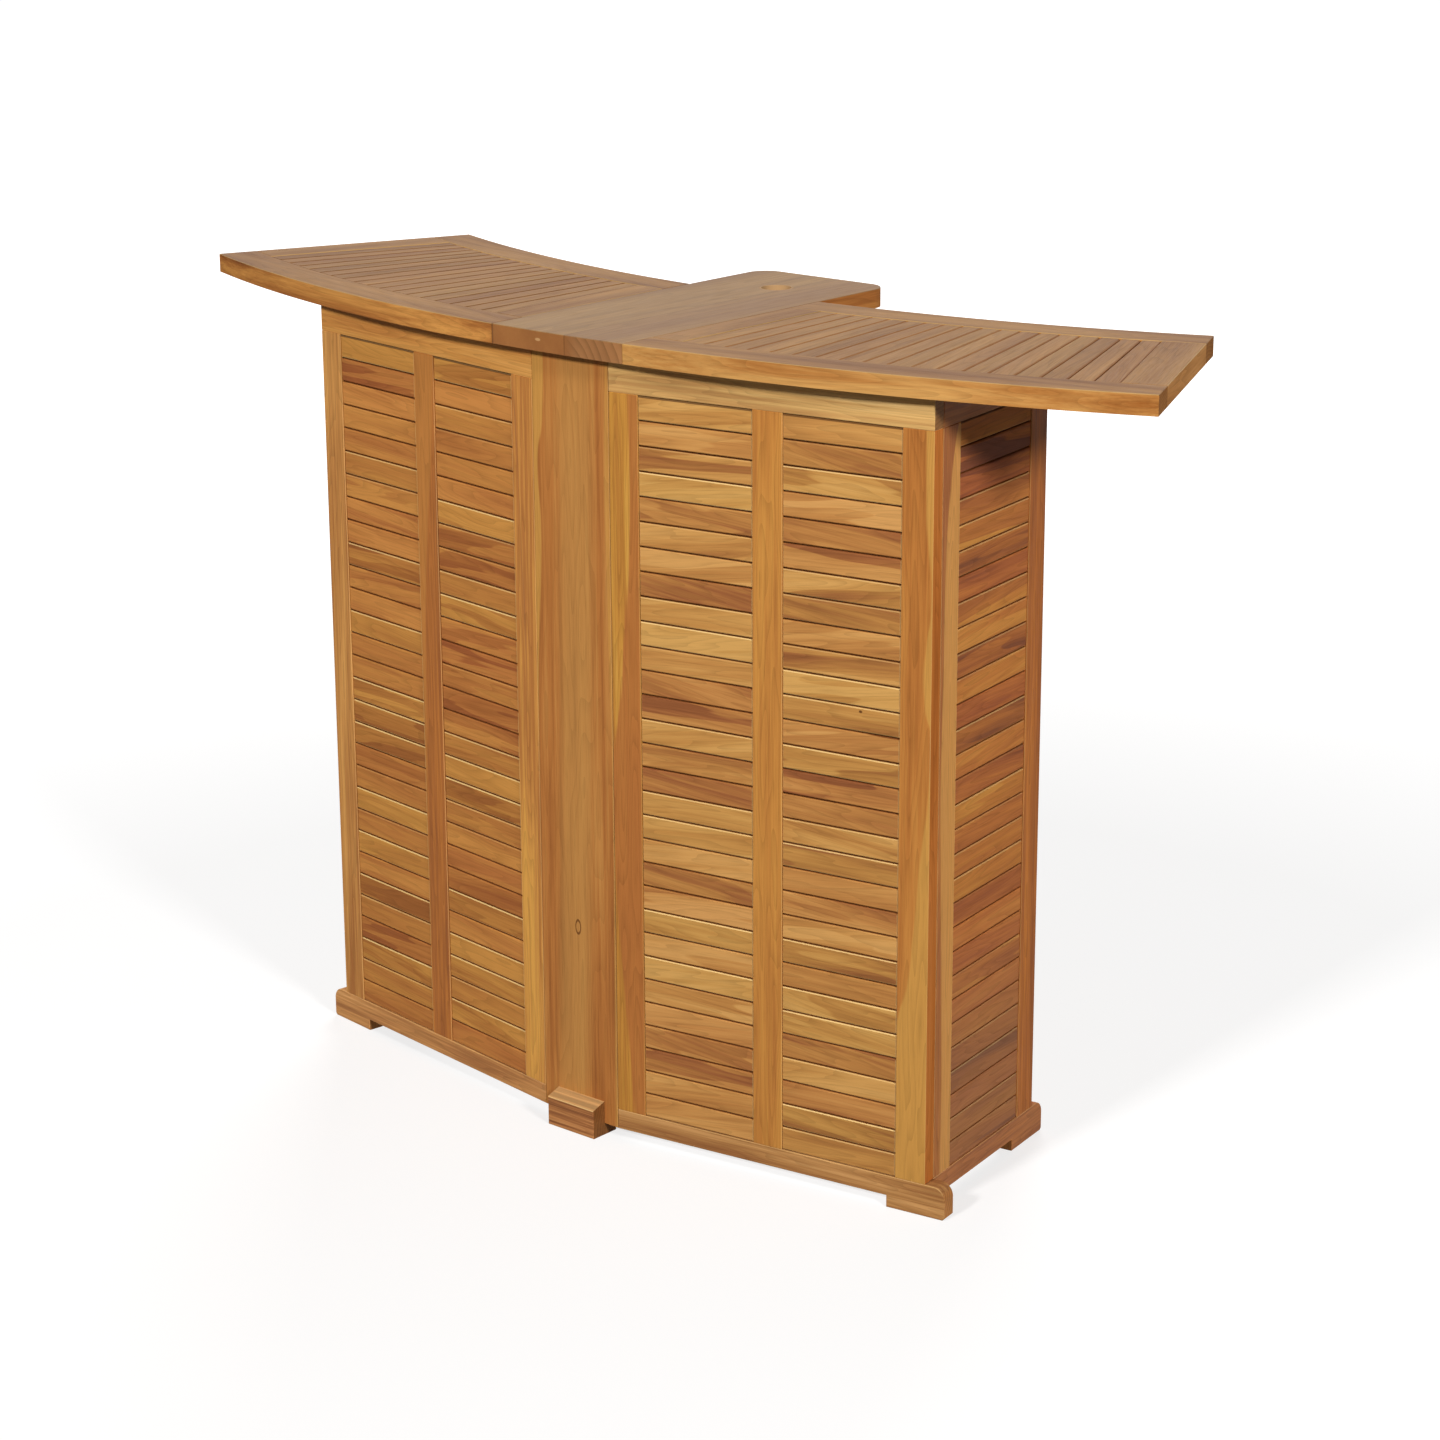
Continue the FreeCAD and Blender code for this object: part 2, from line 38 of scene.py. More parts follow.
def linear(hexCode):
    # sRGB hex to the linear colour that sockets take
    values = [int(hexCode[i:i + 2], 16) / 255 for i in (1, 3, 5)]
    return [v / 12.92 if v <= 0.04045 else ((v + 0.055) / 1.055) ** 2.4 for v in values] + [1.0]


def ramp(*hexCodes, spots=(0.0, 0.5, 1.0)):
    # Stops of a colour ramp, light to dark
    return list(zip(spots, hexCodes))


def addNode(tree, kind, values=None, links=None, stops=None, **settings):
    # One node with its settings, socket values, ramp stops and links; a link to a node takes its first output
    # in use. Sockets by number: Map Range reads from 1 to 2 and gives 3 to 4, Mix lays 7 over 6 by a share, 0
    node = tree.nodes.new("ShaderNode" + kind)
    for key, value in settings.items():
        setattr(node, key, value)
    for key, value in (values or {}).items():
        node.inputs[key].default_value = value
    for key, source in (links or {}).items():
        if isinstance(source, bpy.types.Node):
            source = next(socket for socket in source.outputs if socket.enabled)
        tree.links.new(source, node.inputs[key])
    for count, (spot, hexCode) in enumerate(stops or []):
        elements = node.color_ramp.elements
        element = elements[count] if count < 2 else elements.new(spot)  # a new ramp has two
        element.position = spot
        element.color = linear(hexCode)
    return node


def newTree(name):
    material = bpy.data.materials.new(name)
    material.use_nodes = True
    material.node_tree.nodes.clear()
    return material, material.node_tree


def dress(nodeName, material):
    slots = nodes[nodeName].data.materials
    slots.clear()
    slots.append(material)


# Teak, sawn, planed, sanded and oiled: long brown grain, open pores that break up a soft sheen.
# Lengths are in mm. Figure is the width of the slow colour bands and rings the number of growth lines that
# show across one of them. A stretch is the width of a pattern for each mm of its length along the grain.
# Real pores are 0.3 mm and are drawn wider so that they show. Axes, which each board gives for itself, are
# the ways along its grain, across it and through it
teak = {
    "turn": 0,
    "fanned": False,
    "ior": 1.5,
    "gloss": 0.09,
    "rough": 0.52,
    "edgeRough": 0.95,
    "figure": 38.0,
    "figureStretch": 0.085,
    "rings": 7.0,
    "ringDepth": 0.17,
    "streak": 4.5,
    "streakStretch": 0.022,
    "pore": 1.1,
    "poreStretch": 0.03,
    "poreDepth": 0.16,
    "patchStretch": 0.08,
    "relief": 0.12,
    "toneBase": 0.5,
    "endTone": "#8F5D30",
    "pith": (-30, -40, 0),
    "ringWidth": 5.0,
    "ringedFrom": -2000.0,
    "faceOnly": False,
    # Painted highlight on bevelled edges: its pale tone and how much of it shows
    "bevelHighlightTone": "#E8C484",
    "bevelHighlightCover": 0.25,
    # Painted shade on faces between slats: its tone, and how far a face turns away before it starts
    "gapShadeTone": "#8E5228",
    "gapFront": 0.5,
}

# How far a surface faces a way, 0 not at all and 1 straight, where a tone starts and where it is full.
# A bevel faces two ways, and the two are multiplied
facing = {"broad": {1: 0.5, 2: 0.68}, "end": {1: 0.75, 2: 0.95}, "bevel": {1: 0.2, 2: 0.4},
          "stripe": {1: 0.5, 2: 0.8}}

# Slats of the counter's leaves fan out between two arcs about one centre, from the plank to a slanted end
leafFan = {"frontRadius": 2060.0, "depth": 372.0, "railWidth": 54.0, "slatsFrom": 153.5, "endSlant": 23.5,
           "slats": 18, "pitch": 28.4}


def fanArc(radius):
    # First angle of the slats on an arc, and their span up to the end rail, which starts at the front corner
    slant = math.radians(leafFan["endSlant"])
    corner = math.asin(cadBox[1][0] * metre / leafFan["frontRadius"])
    endLine = leafFan["frontRadius"] * math.sin(corner - slant) - leafFan["railWidth"]
    first = math.asin(leafFan["slatsFrom"] / radius)
    return first, slant + math.asin(endLine / radius) - first


def fanSpace(tree, board):
    # Grain, across and depth of the fanned slats: along the radius, from slat to slat, and height
    frontArc = leafFan["frontRadius"] - leafFan["railWidth"]
    rearArc = leafFan["frontRadius"] - leafFan["depth"] + leafFan["railWidth"]
    frontFirst, frontSpan = fanArc(frontArc)
    rearFirst, rearSpan = fanArc(rearArc)
    centreY = cadBox[0][1] + leafFan["frontRadius"] / metre
    xyz = addNode(tree, "SeparateXYZ", links={0: board["place"]})
    x = addNode(tree, "Math", operation="ABSOLUTE", links={0: xyz.outputs[0]})
    y = addNode(tree, "Math", operation="SUBTRACT", values={0: centreY}, links={1: xyz.outputs[1]})
    angle = addNode(tree, "Math", operation="ARCTAN2", links={0: x, 1: y})
    flat = addNode(tree, "CombineXYZ", links={0: x, 1: y})
    radius = addNode(tree, "VectorMath", operation="LENGTH", links={0: flat})
    share = addNode(tree, "MapRange", clamp=False, links={0: radius},
                    values={1: frontArc / metre, 2: rearArc / metre})
    first = addNode(tree, "MapRange", clamp=False, values={3: frontFirst, 4: rearFirst}, links={0: share})
    span = addNode(tree, "MapRange", clamp=False, values={3: frontSpan, 4: rearSpan}, links={0: share})
    past = addNode(tree, "Math", operation="SUBTRACT", links={0: angle, 1: first})
    turn = addNode(tree, "Math", operation="DIVIDE", links={0: past, 1: span})
    width = leafFan["slats"] * leafFan["pitch"] / metre
    across = addNode(tree, "Math", operation="MULTIPLY", values={1: width}, links={0: turn})
    board.update({"grain": radius, "across": across, "depth": xyz.outputs[2]})


def boardSpace(tree, kind):
    # Place and facing in the board's own directions: u along its plan angle, v through its front, z up
    place = addNode(tree, "TexCoord")
    back = {"Rotation": (0, 0, -math.radians(kind["turn"]))}
    plan = addNode(tree, "Mapping", values=back, links={0: place.outputs["Object"]})
    plan = addNode(tree, "SeparateXYZ", links={0: plan})
    faces = addNode(tree, "Mapping", vector_type="VECTOR", values=back, links={0: place.outputs["Normal"]})
    faces = addNode(tree, "VectorMath", operation="ABSOLUTE", links={0: faces})
    faces = addNode(tree, "SeparateXYZ", links={0: faces})
    board = {"place": place.outputs["Object"]}
    for axis, spot, face in zip(kind["axes"], ("grain", "across", "depth"), ("ends", "sides", "front")):
        board[spot] = plan.outputs["uvz".index(axis)]
        board[face] = faces.outputs["uvz".index(axis)]
    if kind["fanned"]:
        fanSpace(tree, board)
    return board


# Where the wood was cut, in metres: a slat anywhere within reach, a board one step further for each seed
log = {"reach": (9.0, 9.0, 9.0), "step": (1.37, 0.71, 0.53), "slatsPerSeed": 40}


def cutWood(tree, kind, board):
    # A board is one piece of wood. Of those with a pitch, each slat or glued board is a piece of its own
    grain, across, depth = board["grain"], board["across"], board["depth"]
    if "pitch" not in kind:
        spot = addNode(tree, "CombineXYZ", links={0: grain, 1: across, 2: depth})
        away = [kind["seed"] * step for step in log["step"]]
        board["wood"] = addNode(tree, "VectorMath", operation="ADD", values={1: away}, links={0: spot})
        return
    start = kind["seed"] * log["slatsPerSeed"] - kind["first"] / kind["pitch"]
    count = addNode(tree, "Math", operation="MULTIPLY_ADD", values={1: metre / kind["pitch"], 2: start},
                    links={0: across})
    number = addNode(tree, "Math", operation="FLOOR", links={0: count})
    luck = addNode(tree, "TexWhiteNoise", noise_dimensions="1D", links={"W": number})
    lucks = addNode(tree, "SeparateXYZ", links={0: luck.outputs["Color"]})
    lean = addNode(tree, "MapRange", values={3: -kind["lean"], 4: kind["lean"]}, links={0: lucks.outputs[0]})
    slanted = addNode(tree, "Math", operation="MULTIPLY_ADD", links={0: lean, 1: grain, 2: across})
    spot = addNode(tree, "CombineXYZ", links={0: grain, 1: slanted, 2: depth})
    board["wood"] = addNode(tree, "VectorMath", operation="MULTIPLY_ADD", values={1: log["reach"]},
                            links={0: luck.outputs["Color"], 2: spot})
    board.update({"toneLuck": luck, "patchLuck": lucks.outputs[1], "hueLuck": lucks.outputs[2]})


# Noise of each pattern in the grain, and where it goes from light to dark
grainNoise = {
    "figure": {"detail": 1.5, "rough": 0.4, "limits": {1: 0.32, 2: 0.68}},
    "streak": {"detail": 3.0, "rough": 0.6, "limits": {1: 0.3, 2: 0.7}},
    "pore": {"detail": 2.0, "rough": 0.55, "limits": {1: 0.5, 2: 0.75}},
    "patch": {"detail": 1.0, "rough": 0.5, "limits": {1: 0.493, 2: 0.52}},
}
growth = {"bands": 4, "sharp": 2.6}  # bands in the range of the figure's noise, and how narrow late wood is


def addGrain(tree, kind, board):
    # Slow bands, streaks, pores, and patches on slats, along the grain; growth lines follow the bands
    for name, noise in grainNoise.items():
        if name in kind:
            drawn = addNode(tree, "VectorMath", operation="MULTIPLY", links={0: board["wood"]},
                            values={1: (kind[name + "Stretch"], 1, 1)})
            shape = {"Scale": metre / kind[name], "Detail": noise["detail"], "Roughness": noise["rough"]}
            board[name] = addNode(tree, "TexNoise", values=shape, links={0: drawn})
    lines = addNode(tree, "Math", operation="MULTIPLY", values={1: kind["rings"] * growth["bands"]},
                    links={0: board["figure"]})
    ring = addNode(tree, "Math", operation="FRACT", links={0: lines})
    board["late"] = addNode(tree, "Math", operation="POWER", values={1: growth["sharp"]}, links={0: ring})
    poreDark = addNode(tree, "MapRange", links={0: board["pore"]},
                       values={**grainNoise["pore"]["limits"], 3: 1.0, 4: 1.0 - kind["poreDepth"]})
    lateDark = addNode(tree, "MapRange", links={0: board["late"]},
                       values={3: 1.0, 4: 1.0 - kind["ringDepth"]})
    board["dark"] = addNode(tree, "Math", operation="MULTIPLY", links={0: poreDark, 1: lateDark})


def woodTone(tree, kind, board):
    # Place on the ramp, light to dark. Some slats show two tones side by side with a long slanting border
    base, swing = kind["toneBase"], kind["toneFigure"]
    figureTone = addNode(tree, "MapRange", links={0: board["figure"]},
                         values={**grainNoise["figure"]["limits"], 3: base - swing, 4: base + swing})
    streakTone = addNode(tree, "MapRange", links={0: board["streak"]}, values={
        **grainNoise["streak"]["limits"], 3: -kind["toneStreak"], 4: kind["toneStreak"]})
    tone = addNode(tree, "Math", operation="ADD", links={0: figureTone, 1: streakTone})
    if "pitch" in kind:
        tone = addNode(tree, "Math", operation="MULTIPLY_ADD", values={1: kind["toneLuck"]},
                       links={0: board["toneLuck"], 2: tone})
        patch = addNode(tree, "MapRange", interpolation_type="SMOOTHSTEP", links={0: board["patch"]},
                        values=grainNoise["patch"]["limits"])
        shift = addNode(tree, "MapRange", values={3: -kind["tonePatch"], 4: kind["tonePatch"]},
                        links={0: board["patchLuck"]})
        tone = addNode(tree, "Math", operation="MULTIPLY_ADD", links={0: patch, 1: shift, 2: tone})
    return tone


def woodColour(tree, kind, board):
    # Colour of the sawn wood. Where a board has face tones, its broad face and its edges take different
    # tones: painted shade and light for how the lamps reach them
    tone = woodTone(tree, kind, board)
    colour = addNode(tree, "ValToRGB", stops=kind["tones"], links={0: tone})
    if "faceShadingTones" in kind:
        face = addNode(tree, "ValToRGB", stops=kind["faceShadingTones"], links={0: tone})
        board["broad"] = addNode(tree, "MapRange", values=facing["broad"], links={0: board["front"]})
        colour = addNode(tree, "Mix", data_type="RGBA", links={0: board["broad"], 6: colour, 7: face})
    if "pitch" in kind:
        middle = 0.5  # leaves the hue as it is
        hue = addNode(tree, "MapRange", values={3: middle - kind["hue"], 4: middle + kind["hue"]},
                      links={0: board["hueLuck"]})
        colour = addNode(tree, "HueSaturation", links={"Hue": hue, "Color": colour})
    return addNode(tree, "VectorMath", operation="SCALE", links={0: colour, "Scale": board["dark"]})


# Rings on the ends: how far the figure bends them, how narrow late wood is, and what they do to the tone
endRings = {"cover": 0.9, "bend": 1.6, "sharp": 2.2, "border": 20.0, "rings": {3: 1.04, 4: 0.66},
            "mottle": {1: 0.3, 2: 0.7, 3: 1.12, 4: 0.88}}


def endGrain(tree, kind, board, colour):
    # End grain drinks more oil and is darker, with growth rings round a pith outside the board
    board["endCover"] = addNode(tree, "MapRange", values={**facing["end"], 4: endRings["cover"]},
                                links={0: board["ends"]})
    board["section"] = addNode(tree, "CombineXYZ", links={0: board["across"], 1: board["depth"]})
    pith = [length / metre for length in kind["pith"]]
    reach = addNode(tree, "VectorMath", operation="DISTANCE", values={1: pith}, links={0: board["section"]})
    reach = addNode(tree, "Math", operation="MULTIPLY", values={1: metre / kind["ringWidth"]},
                    links={0: reach})
    reach = addNode(tree, "Math", operation="MULTIPLY_ADD", values={1: endRings["bend"]},
                    links={0: board["figure"], 2: reach})
    reach = addNode(tree, "Math", operation="FRACT", links={0: reach})
    reach = addNode(tree, "Math", operation="POWER", values={1: endRings["sharp"]}, links={0: reach})
    border = {1: kind["ringedFrom"] / metre, 2: (kind["ringedFrom"] + endRings["border"]) / metre}
    ringedSide = addNode(tree, "MapRange", values=border, links={0: board["across"]})
    ringed = addNode(tree, "Math", operation="MULTIPLY", links={0: reach, 1: ringedSide})
    ringed = addNode(tree, "MapRange", values=endRings["rings"], links={0: ringed})
    mottled = addNode(tree, "MapRange", values=endRings["mottle"], links={0: board["figure"]})
    ringed = addNode(tree, "Math", operation="MULTIPLY", links={0: ringed, 1: mottled})
    plainTone, ringedTone = kind["endTone"], kind.get("ringedTone", kind["endTone"])
    endTone = addNode(tree, "Mix", data_type="RGBA", values={6: linear(plainTone), 7: linear(ringedTone)},
                      links={0: ringedSide})
    endTone = addNode(tree, "VectorMath", operation="SCALE", links={0: endTone, "Scale": ringed})
    return addNode(tree, "Mix", data_type="RGBA", links={0: board["endCover"], 6: colour, 7: endTone})


edgeHighlightLuck = {1: 0.35, 2: 0.95}  # luck from which a slat's long edges take a little of the painted highlight, and all of it


def paintedEdgeHighlights(tree, kind, board, colour):
    # Painted highlight: bevelled edges are painted pale at the ends of every slat, and along the grain only
    # on some
    both = addNode(tree, "Math", operation="MULTIPLY", links={0: board["sides"], 1: board["front"]})
    bevel = addNode(tree, "MapRange", values={**facing["bevel"], 4: kind["bevelHighlightCover"]}, links={0: both})
    if "pitch" in kind:
        highlightShare = addNode(tree, "MapRange", values=edgeHighlightLuck, links={0: board["hueLuck"]})
        bevel = addNode(tree, "Math", operation="MULTIPLY", links={0: bevel, 1: highlightShare})
    if "tipHighlightCover" in kind:
        tip = addNode(tree, "Math", operation="MULTIPLY", links={0: board["ends"], 1: board["front"]})
        tip = addNode(tree, "MapRange", values={**facing["bevel"], 4: kind["tipHighlightCover"]}, links={0: tip})
        bevel = addNode(tree, "Math", operation="MAXIMUM", links={0: bevel, 1: tip})
    return addNode(tree, "Mix", data_type="RGBA", values={7: linear(kind["bevelHighlightTone"])},
                   links={0: bevel, 6: colour})


curveWidth = 200.0  # mm across a board that a curve node can draw; along the board it draws one metre


def stripeEdge(tree, board, corners):
    # Edge of a stripe through points in mm: along the board, and in from its low side
    edge = addNode(tree, "FloatCurve", links={"Value": board["grain"]})
    curve = edge.mapping.curves[0]
    for count, (along, inward) in enumerate(corners):
        spot = (along / metre, inward / curveWidth)
        if count < 2:  # a new curve has two
            curve.points[count].location = spot
        else:
            curve.points.new(*spot)
    edge.mapping.update()
    return edge


def addStripes(tree, kind, board, colour):
    # Sapwood, heartwood and glue lines, each past one edge or between two, that stray by the wave
    if "stripes" not in kind:
        return colour
    low, wave = kind["low"], kind["wave"]
    inward = addNode(tree, "MapRange", values={3: -(low + wave) / curveWidth, 4: (wave - low) / curveWidth},
                     links={0: board["streak"]})
    inward = addNode(tree, "Math", operation="MULTIPLY_ADD", values={1: metre / curveWidth},
                     links={0: board["across"], 2: inward})
    for stripe in kind["stripes"]:
        covers = []
        if kind["faceOnly"]:
            covers.append(addNode(tree, "MapRange", values=facing["stripe"], links={0: board["front"]}))
        soft = {1: -stripe["soft"] / curveWidth, 2: stripe["soft"] / curveWidth}
        for side in ("from", "to"):
            if side in stripe:
                edge = stripeEdge(tree, board, stripe[side])
                ways = {0: inward, 1: edge} if side == "from" else {0: edge, 1: inward}
                past = addNode(tree, "Math", operation="SUBTRACT", links=ways)
                past = addNode(tree, "MapRange", interpolation_type="SMOOTHSTEP", values=soft,
                               links={0: past})
                covers.append(past)
        cover = covers[0]
        for more in covers[1:]:
            cover = addNode(tree, "Math", operation="MULTIPLY", links={0: cover, 1: more})
        cover = addNode(tree, "Math", operation="MULTIPLY", values={1: stripe["cover"]}, links={0: cover})
        tint = addNode(tree, "VectorMath", operation="SCALE", values={0: linear(stripe["tone"])[:3]},
                       links={"Scale": board["dark"]})
        colour = addNode(tree, "Mix", data_type="RGBA", links={0: cover, 6: colour, 7: tint})
    return colour


# Distances from a knot's middle where its tone starts and where it is full, in its half size, and its cover
knotShapes = {"filled": {1: 1.25, 2: 0.7, 4: 0.85}, "outline": {1: 0.72, 2: 0.88, 4: 0.8}}
outlineEnd = 1.5


def addKnots(tree, kind, board, colour):
    # Knots and nicks on a face or on the end, filled or as an outline
    for knot in kind.get("knots", []):
        onEnd, shape = knot.get("onEnd", False), knot.get("shape", "filled")
        spot = board["section"]
        if not onEnd:
            spot = addNode(tree, "CombineXYZ", links={0: board["grain"], 1: board["across"]})
        (along, over), long, wide = knot["at"], knot["long"], knot["wide"]
        spot = addNode(tree, "VectorMath", operation="MULTIPLY_ADD", links={0: spot},
                       values={1: (metre / long, metre / wide, 0), 2: (-along / long, -over / wide, 0)})
        reach = addNode(tree, "VectorMath", operation="LENGTH", links={0: spot})
        rim = reach
        if shape == "outline":
            rim = addNode(tree, "Math", operation="PINGPONG", values={1: 1.0}, links={0: reach})
        cover = addNode(tree, "MapRange", interpolation_type="SMOOTHSTEP", values=knotShapes[shape],
                        links={0: rim})
        if shape == "outline":
            inside = addNode(tree, "Math", operation="LESS_THAN", values={1: outlineEnd}, links={0: reach})
            cover = addNode(tree, "Math", operation="MULTIPLY", links={0: cover, 1: inside})
        if onEnd:
            cover = addNode(tree, "Math", operation="MULTIPLY", links={0: cover, 1: board["endCover"]})
        colour = addNode(tree, "Mix", data_type="RGBA", values={7: linear(knot["tone"])},
                         links={0: cover, 6: colour})
    return colour


def addHole(tree, kind, board, colour):
    # A bored hole shows fresh pale wood inside a rim that wear has rounded
    if "hole" not in kind:
        return colour
    hole = kind["hole"]
    flat = addNode(tree, "VectorMath", operation="MULTIPLY", values={1: (1, 1, 0)}, links={0: board["place"]})
    middle = [length / metre for length in hole["at"]]
    reach = addNode(tree, "VectorMath", operation="DISTANCE", values={1: middle}, links={0: flat})
    rim = (hole["half"] + hole["rim"], hole["rimTone"], hole["rimCover"])
    bore = (hole["half"], hole["tone"], hole["cover"])
    for edge, tone, cover in (rim, bore):
        limits = {1: (edge + hole["soft"]) / metre, 2: edge / metre, 4: cover}
        inside = addNode(tree, "MapRange", values=limits, links={0: reach})
        colour = addNode(tree, "Mix", data_type="RGBA", values={7: linear(tone)},
                         links={0: inside, 6: colour})
    return colour


# Surface: roughness below and above the board's own over closed and open pores, and the relief's depth
surface = {"pores": {1: 0.25, 2: 0.75}, "smoother": 0.06, "rougher": 0.1, "depth": 0.6}
gapFade = 0.2  # how much further a face between slats turns away until the painted shade on it is darkest


def makeTeak(name, kind):
    material, tree = newTree("oiledTeak_" + name)
    board = boardSpace(tree, kind)
    cutWood(tree, kind, board)
    addGrain(tree, kind, board)
    colour = woodColour(tree, kind, board)
    for layer in (endGrain, paintedEdgeHighlights, addStripes, addKnots, addHole):
        colour = layer(tree, kind, board, colour)

    rough = addNode(tree, "MapRange", links={0: board["pore"]}, values={
        **surface["pores"], 3: kind["rough"] - surface["smoother"], 4: kind["rough"] + surface["rougher"]})
    if "faceShadingTones" in kind:
        # Its edges were only planed and don't shine like the rubbed face
        dull = addNode(tree, "MapRange", values={3: kind["edgeRough"], 4: 0.0}, links={0: board["broad"]})
        rough = addNode(tree, "Math", operation="MAXIMUM", links={0: rough, 1: dull})
    if "gapShadeCover" in kind:
        # Painted shade: faces between slats are darkened, and their saw-rough surface is dull
        limits = {1: kind["gapFront"], 2: kind["gapFront"] - gapFade, 4: kind["gapShadeCover"]}
        gap = addNode(tree, "MapRange", values=limits, links={0: board["front"]})
        colour = addNode(tree, "Mix", data_type="RGBA", values={7: linear(kind["gapShadeTone"])},
                         links={0: gap, 6: colour})
        rough = addNode(tree, "Math", operation="MAXIMUM", links={0: rough, 1: gap})
    height = addNode(tree, "Math", operation="SUBTRACT", links={0: board["late"], 1: board["pore"]})
    bump = addNode(tree, "Bump", values={"Strength": kind["relief"], "Distance": surface["depth"] / metre},
                   links={"Height": height})
    shader = addNode(tree, "BsdfPrincipled", values={"IOR": kind["ior"], "Specular IOR Level": kind["gloss"]},
                     links={"Base Color": colour, "Roughness": rough, "Normal": bump})
    addNode(tree, "OutputMaterial", links={0: shader})
    return material


def dressTeak(nodeName, *looks):
    # Teak in looks that overrule each other in turn
    kind = dict(teak)
    for look in looks:
        kind.update(look)
    dress(nodeName, makeTeak(nodeName, kind))


# Slatted fronts. Turn is the way that a board runs in plan: out along a panel, or back along a wing
sweep = 8.4
frontTurns = {"right_panel": sweep, "left_panel": 180 - sweep,
              "right_wing": 90 + sweep, "left_wing": 90 - sweep}


def frontOf(nodeName):
    # Panel or wing that a board belongs to
    return "_".join(nodeName.split("_")[:2])


slatColumns = {
    "axes": "uzv", "pitch": 31.35, "first": 42.0, "gloss": 0.03, "lean": 0.17,
    "toneBase": 0.2, "toneLuck": 0.5, "toneFigure": 0.22, "toneStreak": 0.16, "tonePatch": 0.48, "hue": 0.005,
    "figure": 26.0, "figureStretch": 0.1, "rings": 3.0, "ringDepth": 0.16, "patch": 20.0,
    # Pale bevels and slat ends carry a painted highlight; faces between slats carry painted shade
    "streak": 6.0, "streakStretch": 0.03, "bevelHighlightCover": 0.9, "tipHighlightCover": 0.5, "gapShadeCover": 0.85,
}
slatSpots = (0.0, 0.2, 0.4, 0.58, 0.76, 0.9, 1.0)
slatTones = {
    "right_panel": ["#CF9B59", "#C79251", "#BE8749", "#B37C42", "#A56E3C", "#9A6238", "#8D5833"],
    "left_panel": ["#D1904A", "#C88845", "#C18042", "#BB793F", "#B1703A", "#A96837", "#A06034"],
    "wing": ["#DD944B", "#D48745", "#CA7C42", "#BF7340", "#B3693D", "#A25F3B", "#8D5338"],
}
columnSeeds = {"right_panel_inner_slats": 1, "right_panel_outer_slats": 2, "left_panel_inner_slats": 3,
               "left_panel_outer_slats": 4, "right_wing_slats": 5, "left_wing_slats": 6}
slatKnots = {"right_panel_outer_slats": [{"at": (384, 632), "long": 2.4, "wide": 1.7, "tone": "#4A2714"},
                                         {"at": (420, 606), "long": 30, "wide": 1.6, "tone": "#6B3C1C"}]}
topShade = {"at": (200, 981.2), "long": 2000, "wide": 1.6, "tone": "#54331A"}  # painted shade: a dark line where the top rail meets the first slat
# The lowest slats of the wings are greyer towards the bottom
lowGrey = {"to": [(0, 200), (1000, 200)], "soft": 160.0, "cover": 0.5, "tone": "#9F7457"}
wingSlats = {"lean": 0.07, "bevelHighlightCover": 0.45, "low": 60.0, "wave": 4.0, "stripes": [lowGrey]}
columnLooks = {"right_panel": {}, "left_panel": {"lean": 0.08, "patch": 15.0, "tonePatch": 0.56},
               "right_wing": wingSlats, "left_wing": wingSlats}
for nodeName, seed in columnSeeds.items():
    front = frontOf(nodeName)
    own = {"turn": frontTurns[front], "seed": seed, "knots": slatKnots.get(nodeName, []) + [topShade],
           "tones": ramp(*slatTones.get(front, slatTones["wing"]), spots=slatSpots)}
    dressTeak(nodeName, slatColumns, columnLooks[front], own)
print("slat columns dressed")

